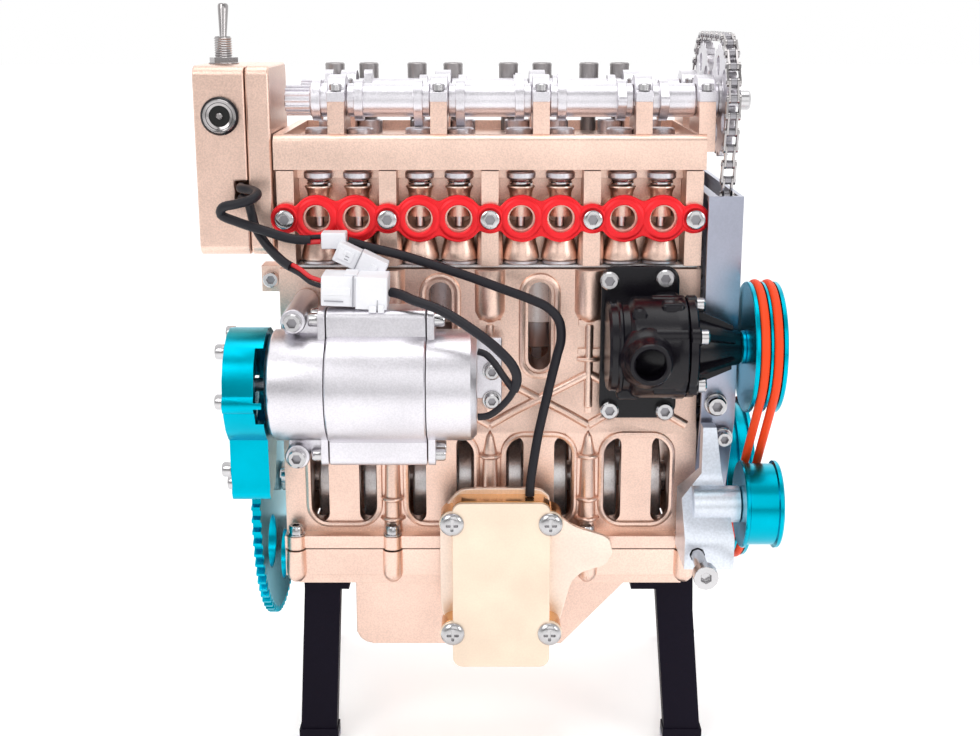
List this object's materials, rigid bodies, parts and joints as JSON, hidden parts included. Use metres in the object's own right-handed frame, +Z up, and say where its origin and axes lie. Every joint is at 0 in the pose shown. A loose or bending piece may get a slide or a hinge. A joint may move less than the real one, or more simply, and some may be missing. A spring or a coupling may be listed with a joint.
{
  "type": "four stroke engine model",
  "caption": "Display model of an inline engine with windowed block, twin overhead camshafts, timing chain, belt-driven pump, starter gears and a stand.",
  "frame": {"origin": "bottom centre of the bounding box, on the plane the feet stand on", "axes": "+X along the crankshaft from the flywheel to the pulleys, +Y from the motor side to the back, +Z up"},
  "size_m": [0.1732, 0.1212, 0.2304],
  "materials": {
    "gold": "bead blasted, pale rose gold anodised",
    "pale_gold": "satin, cream gold with polished edges",
    "silver": "satin machined",
    "steel": "bright machined steel",
    "dark_steel": "dark gunmetal",
    "teal": "bright cyan anodised",
    "red": "bright red anodised",
    "orange": "matt orange-red",
    "black_gloss": "glossy black",
    "black": "satin black",
    "blue_grey": "satin blue-grey",
    "cable": "matt black sheath",
    "white": "white nylon"
  },
  "bodies": {
    "engine": {"cylinder_block": "gold", "liner_set": "silver", "oil_sump": "gold", "gear_housing": "teal", "motor_front_cap": "silver", "motor_body": "silver", "motor_rear_cap": "silver", "cylinder_head": "gold", "port_plate": "red", "cam_carrier": "gold", "timing_chain": "steel", "timing_cover": "blue_grey", "battery_box": "gold", "battery_lid": "gold", "power_jack": "dark_steel", "switch_bushing": "steel", "pump_body": "black_gloss", "pump_nose": "black_gloss", "drive_belt_inner": "orange", "drive_belt_outer": "orange", "idler_bracket": "blue_grey", "adjuster_screw": "steel", "gearbox_base": "pale_gold", "gearbox_cover": "pale_gold", "stand_left": "black", "stand_right": "black", "lead_to_small_plug": "cable", "lead_to_large_plug": "cable", "lead_to_gearbox": "cable", "lead_to_motor": "cable", "small_plug": "white", "large_plug": "white"},
    "crank": {"crankshaft": "steel", "flywheel_gear": "teal", "crank_pulley": "teal"},
    "rods_outer": {"connecting_rod_1": "silver", "connecting_rod_4": "silver"},
    "rods_inner": {"connecting_rod_2": "silver", "connecting_rod_3": "silver"},
    "bushes_outer": {"small_end_bush_1": "steel", "small_end_bush_4": "steel"},
    "bushes_inner": {"small_end_bush_2": "steel", "small_end_bush_3": "steel"},
    "pins_outer": {"wrist_pin_1": "steel", "wrist_pin_4": "steel"},
    "pins_inner": {"wrist_pin_2": "steel", "wrist_pin_3": "steel"},
    "pistons_outer": {"piston_1": "dark_steel", "piston_4": "dark_steel"},
    "pistons_inner": {"piston_2": "dark_steel", "piston_3": "dark_steel"},
    "exhaust_cam": {"exhaust_camshaft": "silver", "exhaust_sprocket": "silver"},
    "intake_cam": {"intake_camshaft": "silver", "intake_sprocket": "silver"},
    "idler_gear_body": {"idler_gear": "teal"},
    "pinion": {"starter_pinion": "silver"},
    "pump_drive": {"pump_pulley": "teal"},
    "belt_idler": {"idler_pulley": "teal"},
    "toggle": {"switch_lever": "steel"}
  },
  "joints": [
    {"name": "crank_spin", "type": "hinge", "parent": "engine", "child": "crank", "pos_m": [0.0004, 0.01538, 0.077], "axis": [1, 0, 0], "continuous": true},
    {"name": "rod_spin_outer", "type": "hinge", "parent": "crank", "child": "rods_outer", "pos_m": [0.0004, 0.01538, 0.083], "axis": [1, 0, 0], "continuous": true},
    {"name": "bush_spin_outer", "type": "hinge", "parent": "rods_outer", "child": "bushes_outer", "pos_m": [0.0004, 0.01538, 0.143], "axis": [1, 0, 0], "continuous": true},
    {"name": "pin_spin_outer", "type": "hinge", "parent": "bushes_outer", "child": "pins_outer", "pos_m": [0.0004, 0.01538, 0.14], "axis": [1, 0, 0], "continuous": true},
    {"name": "piston_spin_outer", "type": "hinge", "parent": "pins_outer", "child": "pistons_outer", "pos_m": [0.0004, 0.01538, 0.143], "axis": [1, 0, 0], "continuous": true},
    {"name": "rod_spin_inner", "type": "hinge", "parent": "crank", "child": "rods_inner", "pos_m": [0.0004, 0.01538, 0.071], "axis": [1, 0, 0], "continuous": true},
    {"name": "bush_spin_inner", "type": "hinge", "parent": "rods_inner", "child": "bushes_inner", "pos_m": [0.0004, 0.01538, 0.131], "axis": [1, 0, 0], "continuous": true},
    {"name": "pin_spin_inner", "type": "hinge", "parent": "bushes_inner", "child": "pins_inner", "pos_m": [0.0004, 0.01538, 0.134], "axis": [1, 0, 0], "continuous": true},
    {"name": "piston_spin_inner", "type": "hinge", "parent": "pins_inner", "child": "pistons_inner", "pos_m": [0.0004, 0.01538, 0.131], "axis": [1, 0, 0], "continuous": true},
    {"name": "exhaust_cam_spin", "type": "hinge", "parent": "engine", "child": "exhaust_cam", "pos_m": [0.0004, -0.00262, 0.2018], "axis": [1, 0, 0], "continuous": true},
    {"name": "intake_cam_spin", "type": "hinge", "parent": "engine", "child": "intake_cam", "pos_m": [0.0004, 0.03338, 0.2018], "axis": [1, 0, 0], "continuous": true},
    {"name": "idler_gear_spin", "type": "hinge", "parent": "engine", "child": "idler_gear_body", "pos_m": [-0.0706, -0.02511, 0.11143], "axis": [1, 0, 0], "continuous": true},
    {"name": "starter_pinion_spin", "type": "hinge", "parent": "engine", "child": "pinion", "pos_m": [-0.0706, -0.03829, 0.12264], "axis": [1, 0, 0], "continuous": true},
    {"name": "pump_spin", "type": "hinge", "parent": "engine", "child": "pump_drive", "pos_m": [0.0754, -0.02922, 0.1317], "axis": [1, 0, 0], "continuous": true},
    {"name": "belt_idler_spin", "type": "hinge", "parent": "engine", "child": "belt_idler", "pos_m": [0.0754, -0.03262, 0.084], "axis": [1, 0, 0], "continuous": true},
    {"name": "switch_throw", "type": "hinge", "parent": "engine", "child": "toggle", "pos_m": [-0.0803, 0.00338, 0.2178], "axis": [1, 0, 0], "range_deg": [0, 24]}
  ],
  "couplings": [
    {"joint": "rod_spin_outer", "follows": "crank_spin", "ratio": -1},
    {"joint": "bush_spin_outer", "follows": "crank_spin", "ratio": 1},
    {"joint": "pin_spin_outer", "follows": "crank_spin", "ratio": -2},
    {"joint": "piston_spin_outer", "follows": "crank_spin", "ratio": 1},
    {"joint": "rod_spin_inner", "follows": "crank_spin", "ratio": -1},
    {"joint": "bush_spin_inner", "follows": "crank_spin", "ratio": 1},
    {"joint": "pin_spin_inner", "follows": "crank_spin", "ratio": -2},
    {"joint": "piston_spin_inner", "follows": "crank_spin", "ratio": 1},
    {"joint": "exhaust_cam_spin", "follows": "crank_spin", "ratio": 0.5},
    {"joint": "intake_cam_spin", "follows": "crank_spin", "ratio": 0.5},
    {"joint": "idler_gear_spin", "follows": "crank_spin", "ratio": -5.1429},
    {"joint": "starter_pinion_spin", "follows": "crank_spin", "ratio": 5.1429},
    {"joint": "pump_spin", "follows": "crank_spin", "ratio": 1.381},
    {"joint": "belt_idler_spin", "follows": "crank_spin", "ratio": -1.9191}
  ]
}
